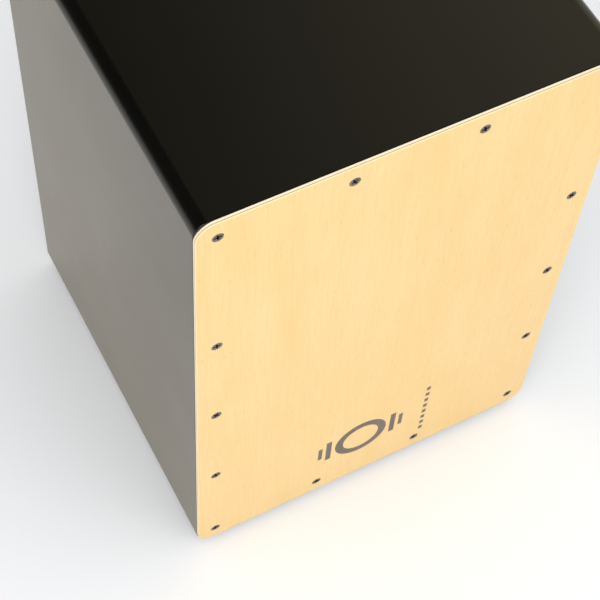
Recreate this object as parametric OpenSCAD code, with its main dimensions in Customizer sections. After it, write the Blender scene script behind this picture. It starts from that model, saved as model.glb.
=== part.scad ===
// Cajon: a box drum with a screwed-on playing plate, a sound hole in the back, and two pairs of
// strings behind the plate that are tightened from underneath.
// Millimetres. +Z is up, the playing plate faces -Y, and the origin is on the floor under the
// middle of the box.

/* [Box] */
// Width of the box
body_w = 305; // [290:1:330]
// Depth of the box, over the playing plate and the back
body_d = 305; // [280:1:330]
// Height of the box without its feet
body_h = 450; // [420:1:500]
// Thickness of the side, top and bottom panels
panel_t = 9; // [9:0.5:10]
// Radius along the four long edges of the box
edge_r = 10; // [6:1:12]

/* [Playing plate] */
// Thickness of the playing plate
plate_t = 3; // [2.8:0.1:4]
// Radius of the playing plate's corners
plate_r = 14; // [10:1:18]
// Distance of the screws from the plate's edges
screw_margin = 15; // [14:0.5:17]
// Height from a top corner screw down to the next one
corner_gap = 128; // [100:1:150]

/* [Back] */
// Thickness of the back panel
back_t = 5; // [4:0.5:6]
// Diameter of the sound hole
sound_hole_d = 120; // [90:1:130]
// Height of the sound hole's middle above the bottom of the box
sound_hole_z = 300; // [200:1:330]

/* [Inner frame] */
// Width of the battens behind the playing plate
batten_w = 15; // [14:0.5:18]
// Depth of the battens behind the playing plate
batten_d = 18; // [18:0.5:24]
// Leg of the three-cornered blocks in the box's long corners
block_leg = 15; // [10:0.5:18]

/* [Strings] */
// Diameter of a string
string_d = 0.9; // [0.6:0.1:1]
// Distance of each tuner bolt from the middle of the box
tuner_x = 30; // [28:1:34]
// Distance between the two strings of a pair at their lower ends
string_gap_low = 16; // [14:1:18]
// Distance between the two strings of a pair at their upper ends
string_gap_high = 30; // [26:1:32]
// Distance of each upper string holder's middle from the middle of the box
hanger_x = 60; // [56:1:64]

/* [Feet] */
// Height of a rubber foot
foot_h = 8; // [7:0.5:12]
// Diameter of a rubber foot where it meets the box
foot_d = 28; // [24:1:32]
// Distance of each foot's middle from the box's edges
foot_inset = 37; // [34:1:45]

/* [Hidden] */
$fn = 64;

// Planes of the box
front_y = -body_d / 2;
shell_y = front_y + plate_t;
rear_y = body_d / 2;
back_inner_y = rear_y - back_t;
bottom_z = foot_h;
top_z = foot_h + body_h;
mid_z = (bottom_z + top_z) / 2;
inner_x = body_w / 2 - panel_t;
inner_low_z = bottom_z + panel_t;
inner_high_z = top_z - panel_t;

// The back panel sits in a rebate that takes this much of the panels' thickness
rebate_w = 5;
rebate_lip = panel_t - rebate_w;

// Battens behind the playing plate
batten_x = inner_x - batten_w;
batten_rear_y = shell_y + batten_d;
batten_low_z = inner_low_z + batten_w;
batten_high_z = inner_high_z - batten_w;

// Screws of the playing plate, as [x, z]
side_x = body_w / 2 - screw_margin;
row_step = 2 * side_x / 3;
low_row_z = bottom_z + screw_margin;
high_row_z = top_z - screw_margin;
side_step = (high_row_z - low_row_z - corner_gap) / 3;
FRONT_SCREWS = concat(
    [for (s = [-1, 1], i = [0 : 3]) [s * side_x, low_row_z + i * side_step]],
    [for (s = [-1, 1]) [s * side_x, high_row_z]],
    [for (s = [-1, 1], z = [low_row_z, high_row_z]) [s * row_step / 2, z]]
);
front_screw_d = 4;
front_screw_head_d = 8;
front_screw_l = 20;
head_rim = 0.3;
screw_slack = 0.05;

// Feet
foot_x = body_w / 2 - foot_inset;
foot_y = body_d / 2 - foot_inset;
foot_taper = 4;
foot_recess_d = 13;
foot_recess_h = 4.5;
foot_screw_d = 4;
foot_screw_head_d = 8;
foot_screw_head_h = 2.5;
foot_screw_l = 12;
foot_washer_d = 11;
washer_t = 1;

// Strings run down just behind the plate, in front of the flanges that hold them
string_r = string_d / 2;
string_y = shell_y + 0.15 + string_r;
flange_y = string_y + string_r + 0.1;
sheet_t = 1.6;
string_hole_d = 1.2;
ball_d = 4;
ball_l = 3;
ball_hole_d = 1;
ball_y = flange_y + sheet_t;

// Upper string holders, under the top batten
hanger_w = 46;
hanger_h = 16;
hanger_rear_y = batten_rear_y - 2;
hanger_string_z = batten_high_z - 10;
hanger_screw_gap = 14;
hanger_screw_y = shell_y + 10.5;
hanger_screw_d = 3;
hanger_screw_head_d = 5.6;
hanger_screw_head_h = 2;
hanger_screw_l = 11;

// Tuners, one for each pair of strings
tuner_y = shell_y + 9;
bolt_d = 5;
bolt_slack = 0.05;
bolt_head_d = 8.5;
bolt_head_h = 5;
bolt_socket_af = 4;
bolt_socket_h = 3;
bolt_top_z = batten_low_z + 31;
bolt_hole_d = 5.6;
counterbore_d = 11;
counterbore_h = 6.5;
tuner_washer_d = 10;
bolt_seat_z = bottom_z + counterbore_h - washer_t;

// String carriages, which climb the tuner bolts
carriage_w = 32;
carriage_z = batten_low_z + 14;
carriage_t = 4;
carriage_h = 15;
carriage_rear_y = batten_rear_y + 0.5;
carriage_boss_d = 10;
carriage_boss_h = 8;
carriage_string_z = carriage_z + 9.5;

// Guide pins, which stop the carriages from turning with the bolts
pin_d = 3;
pin_x = tuner_x - 11;
pin_y = shell_y + 13;
pin_low_z = inner_low_z + 4;
pin_top_z = batten_low_z + 31;

// ---- Shapes that are used more than once

// A rectangle with round corners, centred
module rounded_rect(w, h, r) {
    square([w - 2 * r, h], center = true);
    square([w, h - 2 * r], center = true);
    for (x = [-1, 1], y = [-1, 1])
        translate([x * (w / 2 - r), y * (h / 2 - r)]) circle(r);
}

// Stands a drawing of the X and Z directions up, from y0 to y1
module across_y(y0, y1) {
    translate([0, y1, 0]) rotate([90, 0, 0]) linear_extrude(y1 - y0) children();
}

// A box between two corners
module block(low, high) {
    translate(low) cube(high - low);
}

// A rod with round ends between two points
module rod(a, b, r) {
    d = b - a;
    len = norm(d);
    translate(a)
        rotate([0, acos(d[2] / len), atan2(d[1], d[0])])
            rotate_extrude()
                intersection() {
                    union() {
                        circle(r);
                        square([r, len]);
                        translate([0, len]) circle(r);
                    }
                    translate([0, -2 * r]) square([2 * r, len + 4 * r]);
                }
}

// A flat ring
module ring(outer_d, inner_d, t) {
    difference() {
        cylinder(h = t, d = outer_d);
        translate([0, 0, -1]) cylinder(h = t + 2, d = inner_d);
    }
}

// The cross recess of a screw head, cut down from z = 0 along +Z
module cross_recess(width, depth) {
    intersection() {
        union() {
            for (a = [0, 90])
                rotate([0, 0, a]) translate([-width / 2, -width / 9, -1]) cube([width, width / 4.5, depth + 1]);
        }
        translate([0, 0, -0.01]) cylinder(h = depth, d1 = width, d2 = width / 3);
    }
}

// A countersunk screw whose head lies at z = 0 and whose point is up at z = l
module countersunk_body(d, head_d, l, slack = 0) {
    cone_h = (head_d - d) / 2;
    rotate_extrude()
        polygon([
            [0, -slack], [head_d / 2 + slack, -slack], [head_d / 2 + slack, head_rim],
            [d / 2 + slack, head_rim + cone_h], [d / 2 + slack, l - d], [0, l]
        ]);
}

module countersunk_screw(d, head_d, l) {
    difference() {
        countersunk_body(d, head_d, l);
        cross_recess(head_d * 0.56, head_d * 0.27);
    }
}

// A pan-head screw that stands on its head's seat at z = 0, with its point up at z = l
module pan_screw(d, head_d, head_h, l) {
    crown = head_h * 0.5;
    difference() {
        rotate_extrude()
            polygon([
                [0, -head_h], [head_d / 2 - crown, -head_h], [head_d / 2, -head_h + crown], [head_d / 2, 0],
                [d / 2, 0], [d / 2, l - d], [0, l]
            ]);
        translate([0, 0, -head_h]) cross_recess(head_d * 0.5, head_h * 0.7);
    }
}

// Its hole in wood
module pilot_hole(d, l) {
    cylinder(h = l, d = d);
}

module at_front_screws() {
    for (p = FRONT_SCREWS) translate([p[0], front_y, p[1]]) rotate([-90, 0, 0]) children();
}

module at_feet() {
    for (x = [-1, 1], y = [-1, 1]) translate([x * foot_x, y * foot_y, 0]) children();
}

module at_tuners() {
    for (x = [-1, 1]) translate([x * tuner_x, tuner_y, 0]) children();
}

module at_hanger_screws() {
    for (side = [-1, 1], x = [-1, 1])
        translate([side * hanger_x + x * hanger_screw_gap / 2, hanger_screw_y, 0]) children();
}

module mirrored(side) {
    mirror([side < 0 ? 1 : 0, 0, 0]) children();
}

// ---- Box

module box_outline() {
    translate([0, mid_z]) rounded_rect(body_w, body_h, edge_r);
}

module back_outline() {
    translate([0, mid_z])
        rounded_rect(body_w - 2 * rebate_lip, body_h - 2 * rebate_lip, edge_r - rebate_lip);
}

// A panel of the box, mitred where it meets its neighbours and rebated for the back
module box_panel(profile) {
    difference() {
        across_y(shell_y, rear_y)
            intersection() {
                box_outline();
                polygon(profile);
            }
        across_y(back_inner_y, rear_y + 1) back_outline();
    }
}

module side_panel(side) {
    w = side * body_w / 2;
    box_panel([
        [w, bottom_z], [side * inner_x, inner_low_z], [side * inner_x, inner_high_z], [w, top_z]
    ]);
}

module side_left() {
    color("#1c1b19") side_panel(-1);
}

module side_right() {
    color("#1c1b19") side_panel(1);
}

module top_panel() {
    color("#1c1b19")
        box_panel([
            [-body_w / 2, top_z], [-inner_x, inner_high_z], [inner_x, inner_high_z], [body_w / 2, top_z]
        ]);
}

module bottom_panel() {
    color("#1c1b19")
        difference() {
            box_panel([
                [-body_w / 2, bottom_z], [-inner_x, inner_low_z],
                [inner_x, inner_low_z], [body_w / 2, bottom_z]
            ]);
            at_tuners() {
                translate([0, 0, bottom_z - 1]) cylinder(h = counterbore_h + 1, d = counterbore_d);
                translate([0, 0, bottom_z]) cylinder(h = panel_t + 1, d = bolt_hole_d);
            }
            at_feet()
                translate([0, 0, bottom_z - 1])
                    pilot_hole(foot_screw_d, foot_recess_h + foot_screw_l - washer_t - foot_h + 1);
        }
}

module back_panel() {
    color("#1c1b19")
        difference() {
            across_y(back_inner_y, rear_y) back_outline();
            translate([0, rear_y + 1, bottom_z + sound_hole_z])
                rotate([90, 0, 0]) cylinder(h = back_t + 2, d = sound_hole_d, $fn = 128);
        }
}

module front_plate() {
    color("#f0d09a")
        difference() {
            across_y(front_y, shell_y) translate([0, mid_z]) rounded_rect(body_w, body_h, plate_r);
            at_front_screws()
                countersunk_body(front_screw_d, front_screw_head_d, front_screw_l, screw_slack);
        }
}

// ---- Inner frame

module side_batten(side) {
    difference() {
        block(
            [min(side * batten_x, side * inner_x), shell_y, inner_low_z],
            [max(side * batten_x, side * inner_x), batten_rear_y, inner_high_z]
        );
        at_front_screws() pilot_hole(front_screw_d, front_screw_l);
    }
}

module front_batten_left() {
    color("#c9a877") side_batten(-1);
}

module front_batten_right() {
    color("#c9a877") side_batten(1);
}

module front_batten_top() {
    color("#c9a877")
        difference() {
            block([-batten_x, shell_y, batten_high_z], [batten_x, batten_rear_y, inner_high_z]);
            at_front_screws() pilot_hole(front_screw_d, front_screw_l);
            at_hanger_screws()
                translate([0, 0, batten_high_z - 1]) pilot_hole(hanger_screw_d, hanger_screw_l + 1 - sheet_t);
        }
}

module front_batten_bottom() {
    color("#c9a877")
        difference() {
            block([-batten_x, shell_y, inner_low_z], [batten_x, batten_rear_y, batten_low_z]);
            at_front_screws() pilot_hole(front_screw_d, front_screw_l);
            at_tuners() translate([0, 0, inner_low_z - 1]) cylinder(h = batten_w + 2, d = bolt_hole_d);
            for (side = [-1, 1])
                translate([side * pin_x, pin_y, pin_low_z]) cylinder(h = batten_w, d = pin_d);
        }
}

// A three-cornered glue block along one long corner of the box
module corner_block(side, up) {
    x = side * inner_x;
    z = up > 0 ? inner_high_z : inner_low_z;
    color("#c9a877")
        across_y(batten_rear_y, back_inner_y)
            polygon([[x, z], [x - side * block_leg, z], [x, z - up * block_leg]]);
}

module corner_block_top_left() {
    corner_block(-1, 1);
}

module corner_block_top_right() {
    corner_block(1, 1);
}

module corner_block_bottom_left() {
    corner_block(-1, -1);
}

module corner_block_bottom_right() {
    corner_block(1, -1);
}

module front_screws() {
    color("#3a3a38")
        at_front_screws() countersunk_screw(front_screw_d, front_screw_head_d, front_screw_l);
}

// ---- Feet

module foot(x, y) {
    color("#232323")
        translate([x * foot_x, y * foot_y, 0])
            difference() {
                cylinder(h = foot_h, d1 = foot_d - foot_taper, d2 = foot_d);
                translate([0, 0, -1]) cylinder(h = foot_recess_h + 1, d = foot_recess_d);
                cylinder(h = foot_h + 1, d = foot_screw_d);
            }
}

module foot_front_left() {
    foot(-1, -1);
}

module foot_front_right() {
    foot(1, -1);
}

module foot_rear_left() {
    foot(-1, 1);
}

module foot_rear_right() {
    foot(1, 1);
}

module foot_washers() {
    color("silver")
        at_feet() translate([0, 0, foot_recess_h - washer_t]) ring(foot_washer_d, foot_screw_d, washer_t);
}

module foot_screws() {
    color("silver")
        at_feet()
            translate([0, 0, foot_recess_h - washer_t])
                pan_screw(foot_screw_d, foot_screw_head_d, foot_screw_head_h, foot_screw_l);
}

// ---- Strings

// Lower and upper place of a string, by its pair's side and whether it is the outer one (1) or
// the inner one (-1)
function string_low(side, outer) =
    [side * (tuner_x + outer * string_gap_low / 2), string_y, carriage_string_z];
function string_high(side, outer) =
    [side * (hanger_x + outer * string_gap_high / 2), string_y, hanger_string_z];

// A string runs back from its lower bend and its upper bend, through the flanges, into the ball ends
module steel_string(side, outer) {
    low = string_low(side, outer);
    high = string_high(side, outer);
    tail_l = ball_y + ball_l - string_y;
    color("#b99b62")
        union() {
            rod(low, high, string_r);
            for (p = [low, high])
                translate(p) rotate([-90, 0, 0]) cylinder(h = tail_l, r = 0.9 * string_r);
        }
}

module string_left_outer() {
    steel_string(-1, 1);
}

module string_left_inner() {
    steel_string(-1, -1);
}

module string_right_inner() {
    steel_string(1, -1);
}

module string_right_outer() {
    steel_string(1, 1);
}

module ball_end(p) {
    translate([p[0], ball_y, p[2]]) rotate([-90, 0, 0]) ring(ball_d, ball_hole_d, ball_l);
}

module ball_ends_top() {
    color("#c8a24a")
        for (side = [-1, 1], outer = [-1, 1]) ball_end(string_high(side, outer));
}

module low_ball_ends(side) {
    color("#c8a24a")
        for (outer = [-1, 1]) ball_end(string_low(side, outer));
}

module ball_ends_left() {
    low_ball_ends(-1);
}

module ball_ends_right() {
    low_ball_ends(1);
}

// Holes for the strings in an upright flange
module string_holes(points) {
    for (p = points)
        translate([p[0], flange_y - 1, p[2]]) rotate([-90, 0, 0]) cylinder(h = sheet_t + 2, d = string_hole_d);
}

// An angle of sheet steel, screwed under the top batten
module string_hanger(side) {
    middle = side * hanger_x;
    left = middle - hanger_w / 2;
    right = middle + hanger_w / 2;
    color("#9a9a96")
        difference() {
            union() {
                block([left, flange_y, batten_high_z - sheet_t], [right, hanger_rear_y, batten_high_z]);
                block([left, flange_y, batten_high_z - hanger_h], [right, flange_y + sheet_t, batten_high_z]);
            }
            string_holes([for (outer = [-1, 1]) string_high(side, outer)]);
            at_hanger_screws()
                translate([0, 0, batten_high_z - sheet_t - 1]) cylinder(h = sheet_t + 2, d = hanger_screw_d);
        }
}

module string_hanger_left() {
    string_hanger(-1);
}

module string_hanger_right() {
    string_hanger(1);
}

module hanger_screws() {
    color("silver")
        at_hanger_screws()
            translate([0, 0, batten_high_z - sheet_t])
                pan_screw(hanger_screw_d, hanger_screw_head_d, hanger_screw_head_h, hanger_screw_l);
}

// ---- Tuners

// A plate with an upright flange for the strings, a threaded boss, and a hole for the guide pin
module string_carriage(side) {
    middle = side * tuner_x;
    left = middle - carriage_w / 2;
    right = middle + carriage_w / 2;
    color("#9a9a96")
        difference() {
            union() {
                block([left, flange_y, carriage_z], [right, carriage_rear_y, carriage_z + carriage_t]);
                block([left, flange_y, carriage_z], [right, flange_y + sheet_t, carriage_z + carriage_h]);
                translate([middle, tuner_y, carriage_z - carriage_boss_h + carriage_t])
                    cylinder(h = carriage_boss_h, d = carriage_boss_d);
            }
            translate([middle, tuner_y, carriage_z - carriage_boss_h])
                cylinder(h = 2 * carriage_boss_h, d = bolt_d + 2 * bolt_slack);
            translate([side * pin_x, pin_y, carriage_z - 1])
                cylinder(h = carriage_t + 2, d = pin_d + 2 * bolt_slack);
            string_holes([for (outer = [-1, 1]) string_low(side, outer)]);
        }
}

module string_carriage_left() {
    string_carriage(-1);
}

module string_carriage_right() {
    string_carriage(1);
}

// A socket-head bolt that is turned from under the box
module tuner_bolt(side) {
    color("#55565a")
        translate([side * tuner_x, tuner_y, 0])
            difference() {
                union() {
                    translate([0, 0, bolt_seat_z - bolt_head_h]) cylinder(h = bolt_head_h, d = bolt_head_d);
                    translate([0, 0, bolt_seat_z]) cylinder(h = bolt_top_z - bolt_seat_z, d = bolt_d);
                }
                translate([0, 0, bolt_seat_z - bolt_head_h - 1])
                    cylinder(h = bolt_socket_h + 1, d = bolt_socket_af / cos(30), $fn = 6);
            }
}

module tuner_bolt_left() {
    tuner_bolt(-1);
}

module tuner_bolt_right() {
    tuner_bolt(1);
}

module tuner_washer(side) {
    color("silver")
        translate([side * tuner_x, tuner_y, bolt_seat_z])
            ring(tuner_washer_d, bolt_d + 4 * bolt_slack, washer_t);
}

module tuner_washer_left() {
    tuner_washer(-1);
}

module tuner_washer_right() {
    tuner_washer(1);
}

module guide_pin(side) {
    color("silver")
        translate([side * pin_x, pin_y, pin_low_z]) cylinder(h = pin_top_z - pin_low_z, d = pin_d);
}

module guide_pin_left() {
    guide_pin(-1);
}

module guide_pin_right() {
    guide_pin(1);
}

side_left();
side_right();
top_panel();
bottom_panel();
back_panel();
front_plate();
front_batten_left();
front_batten_right();
front_batten_top();
front_batten_bottom();
corner_block_top_left();
corner_block_top_right();
corner_block_bottom_left();
corner_block_bottom_right();
front_screws();
foot_front_left();
foot_front_right();
foot_rear_left();
foot_rear_right();
foot_washers();
foot_screws();
string_hanger_left();
string_hanger_right();
hanger_screws();
string_left_outer();
string_left_inner();
string_right_inner();
string_right_outer();
ball_ends_top();
ball_ends_left();
ball_ends_right();
string_carriage_left();
string_carriage_right();
tuner_bolt_left();
tuner_bolt_right();
tuner_washer_left();
tuner_washer_right();
guide_pin_left();
guide_pin_right();
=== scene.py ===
import math

import bpy
from mathutils import Matrix, Vector


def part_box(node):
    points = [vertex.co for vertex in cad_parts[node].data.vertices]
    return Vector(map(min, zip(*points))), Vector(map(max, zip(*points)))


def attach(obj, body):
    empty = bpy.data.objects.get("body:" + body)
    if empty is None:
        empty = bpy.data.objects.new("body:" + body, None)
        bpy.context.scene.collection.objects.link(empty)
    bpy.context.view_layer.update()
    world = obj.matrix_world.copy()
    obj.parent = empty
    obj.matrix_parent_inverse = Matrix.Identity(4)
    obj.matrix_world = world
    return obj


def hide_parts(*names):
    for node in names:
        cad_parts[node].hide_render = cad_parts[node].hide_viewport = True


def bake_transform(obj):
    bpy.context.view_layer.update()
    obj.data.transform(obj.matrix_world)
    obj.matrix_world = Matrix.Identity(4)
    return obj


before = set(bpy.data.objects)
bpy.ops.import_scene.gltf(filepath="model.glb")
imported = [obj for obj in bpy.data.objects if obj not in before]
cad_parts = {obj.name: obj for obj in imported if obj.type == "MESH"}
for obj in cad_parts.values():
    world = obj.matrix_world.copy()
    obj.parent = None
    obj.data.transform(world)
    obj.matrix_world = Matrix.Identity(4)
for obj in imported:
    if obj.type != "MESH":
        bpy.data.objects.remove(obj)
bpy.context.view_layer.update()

bpy.ops.object.select_all(action="DESELECT")

# camera, made first

shot = {
    "place": (-0.3777, -0.6306, 1.2509),
    "azimuth": -32.14,      # degrees from straight at the playing plate
    "elevation": 58.49,     # degrees that it looks down
    "roll": 5.18,
    "lens": 99.3,
    "sensor": 36.0,
    "farthest": 30.0,
}


def makeCamera():
    data = bpy.data.cameras.new("shotCamera")
    data.lens = shot["lens"]
    data.sensor_width = shot["sensor"]
    data.clip_end = shot["farthest"]
    camera = bpy.data.objects.new("shotCamera", data)
    bpy.context.scene.collection.objects.link(camera)
    turn = (
        Matrix.Rotation(math.radians(shot["azimuth"]), 4, "Z")
        @ Matrix.Rotation(math.radians(90 - shot["elevation"]), 4, "X")
        @ Matrix.Rotation(math.radians(shot["roll"]), 4, "Z")
    )
    camera.matrix_world = Matrix.Translation(shot["place"]) @ turn
    bpy.context.scene.camera = camera


makeCamera()
print("camera ready")

# small helpers for modelling

snug = 1e-6     # metres within which two points count as level


def deselectAll():
    if bpy.context.mode != "OBJECT":
        bpy.ops.object.mode_set(mode="OBJECT")
    bpy.ops.object.select_all(action="DESELECT")


def only(obj):
    deselectAll()
    obj.select_set(True)
    bpy.context.view_layer.objects.active = obj


def settle(obj):
    # the place, turn and size go into the mesh
    only(obj)
    bpy.ops.object.transform_apply(location=True, rotation=True, scale=True)


def block(name, lo, hi):
    deselectAll()
    lo, hi = Vector(lo), Vector(hi)
    bpy.ops.mesh.primitive_cube_add(size=1, location=(lo + hi) / 2)
    obj = bpy.context.object
    obj.name = name
    obj.scale = hi - lo
    settle(obj)
    return obj


def disc(name, radius, sides):
    # a filled circle, from which round pieces are pulled up
    deselectAll()
    bpy.ops.mesh.primitive_circle_add(vertices=sides, radius=radius, fill_type="NGON")
    obj = bpy.context.object
    obj.name = name
    return obj


def turned(name, steps, sides=48):
    # steps are (height, radius) from the bottom up
    obj = disc(name, steps[0][1], sides)
    bpy.ops.object.mode_set(mode="EDIT")
    bpy.ops.mesh.select_all(action="SELECT")
    bpy.ops.transform.translate(value=(0, 0, steps[0][0]))
    for (z0, r0), (z1, r1) in zip(steps, steps[1:]):
        bpy.ops.mesh.extrude_region_move(TRANSFORM_OT_translate={"value": (0, 0, z1 - z0)})
        if r1 != r0:
            bpy.ops.transform.resize(value=(r1 / r0, r1 / r0, 1))
    bpy.ops.mesh.select_all(action="SELECT")
    bpy.ops.mesh.normals_make_consistent(inside=False)
    bpy.ops.object.mode_set(mode="OBJECT")
    return obj


def pick(obj, kind, test):
    # kind is EDGE or FACE, and test gets the two ends of an edge, or a face's middle and normal
    only(obj)
    mesh = obj.data
    for parts in (mesh.vertices, mesh.edges, mesh.polygons):
        parts.foreach_set("select", [False] * len(parts))
    if kind == "EDGE":
        bpy.context.tool_settings.mesh_select_mode = (False, True, False)
        for edge in mesh.edges:
            a, b = (mesh.vertices[i].co for i in edge.vertices)
            edge.select = bool(test(a, b))
    else:
        bpy.context.tool_settings.mesh_select_mode = (False, False, True)
        for face in mesh.polygons:
            face.select = bool(test(face.center, face.normal))
    bpy.ops.object.mode_set(mode="EDIT")


def inPlane(axis, level):
    # picks the edges that lie at one level of x (0), y (1) or z (2)
    return lambda a, b: abs(a[axis] - level) < snug and abs(b[axis] - level) < snug


def runsAlong(axis, least):
    # picks the edges that go further than this along x, y or z
    return lambda a, b: abs(a[axis] - b[axis]) > least


def bevelEdges(obj, test, width, segments):
    pick(obj, "EDGE", test)
    bpy.ops.mesh.bevel(offset=width, segments=segments, profile=0.5, affect="EDGES")
    bpy.ops.object.mode_set(mode="OBJECT")


def cutAway(obj, cutter):
    only(obj)
    bpy.ops.object.modifier_add(type="BOOLEAN")
    cut = obj.modifiers[-1]
    cut.operation = "DIFFERENCE"
    cut.solver = "EXACT"
    cut.object = cutter
    bpy.ops.object.modifier_apply(modifier=cut.name)
    bpy.data.objects.remove(cutter)


def joinAll(objs):
    deselectAll()
    for obj in objs:
        obj.select_set(True)
    bpy.context.view_layer.objects.active = objs[0]
    bpy.ops.object.join()
    return bpy.context.object


def moved(obj, shift, turn=None):
    # turns a mesh about the origin and then shifts it
    if turn is not None:
        obj.data.transform(turn)
    obj.data.transform(Matrix.Translation(shift))
    return obj


def copyOf(obj, name, shift=(0, 0, 0), turn=None):
    twin = obj.copy()
    twin.data = obj.data.copy()
    twin.name = name
    bpy.context.scene.collection.objects.link(twin)
    return moved(twin, shift, turn)


def softenShading(obj, angle=35):
    only(obj)
    bpy.ops.object.shade_smooth_by_angle(angle=math.radians(angle))
    bpy.ops.object.modifier_add(type="WEIGHTED_NORMAL")
    obj.modifiers[-1].keep_sharp = True
    bpy.ops.object.modifier_apply(modifier=obj.modifiers[-1].name)


def softBevel(obj, width, segments=2, angle=40):
    only(obj)
    bpy.ops.object.modifier_add(type="BEVEL")
    ease = obj.modifiers[-1]
    ease.width = width
    ease.segments = segments
    ease.limit_method = "ANGLE"
    ease.angle_limit = math.radians(angle)
    bpy.ops.object.modifier_apply(modifier=ease.name)


def fromCad(node, name, width):
    # a copy of a CAD node whose loose triangles are joined up and whose edges are eased
    obj = copyOf(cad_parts[node], name)
    obj.parent = None
    obj.matrix_world = Matrix.Identity(4)
    only(obj)
    bpy.ops.object.mode_set(mode="EDIT")
    bpy.ops.mesh.select_all(action="SELECT")
    bpy.ops.mesh.remove_doubles(threshold=snug)
    bpy.ops.mesh.dissolve_limited(angle_limit=math.radians(1))
    bpy.ops.object.mode_set(mode="OBJECT")
    softBevel(obj, width)
    softenShading(obj)
    return obj


def dress(obj, *looks):
    obj.data.materials.clear()
    for look in looks:
        obj.data.materials.append(look)


def finishPiece(obj, body, node, slot, *looks):
    if looks:
        dress(obj, *looks)
    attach(obj, body)
    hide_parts(node)


# small helpers for materials


def rgb(r, g, b):
    return (r, g, b, 1)


class Look:
    # a material under construction: add() makes a node, and its inputs are numbers or sockets

    sockets = {
        "colour": "Base Color", "rough": "Roughness", "metal": "Metallic", "normal": "Normal",
        "tint": "Specular Tint", "haze": "Sheen Weight", "hazeRough": "Sheen Roughness",
        "hazeTint": "Sheen Tint",
    }

    def __init__(self, name):
        self.material = bpy.data.materials.new(name)
        self.material.use_nodes = True
        self.tree = self.material.node_tree
        self.shader = self.tree.nodes["Principled BSDF"]
        self.place = self.add("ShaderNodeTexCoord").outputs["Object"]

    def add(self, kind, inputs=None, **settings):
        node = self.tree.nodes.new(kind)
        for key, value in settings.items():
            setattr(node, key, value)
        self.fill(node, inputs or {})
        return node

    def fill(self, node, inputs):
        for key, value in inputs.items():
            if isinstance(value, bpy.types.NodeSocket):
                self.tree.links.new(value, node.inputs[key])
            else:
                node.inputs[key].default_value = value

    def stretched(self, scale, shift=(0, 0, 0)):
        return self.add(
            "ShaderNodeMapping", {"Vector": self.place, "Scale": scale, "Location": shift},
        ).outputs["Vector"]

    def noise(self, vector, detail=2.0, rough=0.5, warp=0.0):
        return self.add("ShaderNodeTexNoise", {
            "Vector": vector, "Scale": 1.0, "Detail": detail, "Roughness": rough, "Distortion": warp,
        }).outputs["Fac"]

    def ranged(self, value, lo, hi, low=0.0, high=1.0):
        return self.add("ShaderNodeMapRange", {
            "Value": value, "From Min": lo, "From Max": hi, "To Min": low, "To Max": high,
        }).outputs["Result"]

    def math(self, kind, a, b=0.0):
        return self.add("ShaderNodeMath", {0: a, 1: b}, operation=kind).outputs[0]

    def mix(self, share, a, b):
        node = self.add("ShaderNodeMix", data_type="RGBA")
        self.fill(node, {0: share, 6: a, 7: b})
        return node.outputs[2]

    def layer(self, value, start, end, level=1.0):
        # level where the value lies between start and end, and nothing elsewhere
        node = self.add("ShaderNodeValToRGB", {"Fac": value})
        node.color_ramp.interpolation = "CONSTANT"
        points = node.color_ramp.elements
        points.new(0.5)
        for point, (spot, grey) in zip(points, ((0.0, 0.0), (start, level), (end, 0.0))):
            point.position = spot
            point.color = rgb(grey, grey, grey)
        return node.outputs["Color"]

    def bump(self, height, strength, distance, under=None):
        inputs = {"Height": height, "Strength": strength, "Distance": distance}
        if under is not None:
            inputs["Normal"] = under
        return self.add("ShaderNodeBump", inputs).outputs["Normal"]

    def axes(self):
        return self.add("ShaderNodeSeparateXYZ", {"Vector": self.place}).outputs

    def done(self, **inputs):
        self.fill(self.shader, {self.sockets[key]: value for key, value in inputs.items()})
        return self.material


# the box, with satin black paint outside and bare fibreboard inside

paint = {
    "dark": rgb(0.0011, 0.0011, 0.0010),
    "light": rgb(0.0018, 0.0017, 0.0015),
    "roughLow": 0.282,
    "roughHigh": 0.305,
    "tint": rgb(1.0, 0.97, 0.80),
    "haze": 0.36,               # the grey that satin paint shows at a flat angle
    "hazeRough": 0.28,
    "hazeTint": rgb(1.0, 0.84, 0.57),
    "peel": 0.00006,
    "aside": (0.37, 0.53, 0.71),    # keeps flat faces off the noise's own grid planes
}
fibreboard = {
    "dark": rgb(0.25, 0.165, 0.095),
    "light": rgb(0.36, 0.25, 0.155),
    "stain": rgb(0.22, 0.145, 0.085),
    "roughLow": 0.75,
    "roughHigh": 0.92,
}


def paintLook():
    look = Look("satinBlackPaint")
    cloud = look.noise(look.stretched((7, 7, 7), paint["aside"]), detail=3)
    smear = look.noise(look.stretched((14, 14, 14), paint["aside"]), detail=4)
    peel = look.noise(look.stretched((170, 170, 170), paint["aside"]), detail=1)
    return look.done(
        colour=look.mix(look.ranged(cloud, 0.3, 0.7), paint["dark"], paint["light"]),
        rough=look.ranged(smear, 0.3, 0.7, paint["roughLow"], paint["roughHigh"]),
        normal=look.bump(peel, 0.02, paint["peel"]),
        tint=paint["tint"],
        haze=paint["haze"],
        hazeRough=paint["hazeRough"],
        hazeTint=paint["hazeTint"],
    )


def fibreboardLook():
    look = Look("bareFibreboard")
    fibre = look.noise(look.stretched((700, 700, 700)), detail=4, rough=0.7)
    cloud = look.noise(look.stretched((16, 16, 16)), detail=3)
    colour = look.mix(look.ranged(fibre, 0.3, 0.7), fibreboard["dark"], fibreboard["light"])
    colour = look.mix(look.ranged(cloud, 0.3, 0.7, 0.0, 0.35), colour, fibreboard["stain"])
    return look.done(
        colour=colour,
        rough=look.ranged(fibre, 0.3, 0.7, fibreboard["roughLow"], fibreboard["roughHigh"]),
        normal=look.bump(fibre, 0.25, 0.0002),
    )


satinBlack = paintLook()
bareBoard = fibreboardLook()

plateLo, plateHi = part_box("front_plate")
backLo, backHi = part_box("back_panel")
sideLo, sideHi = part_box("side_left")

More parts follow.
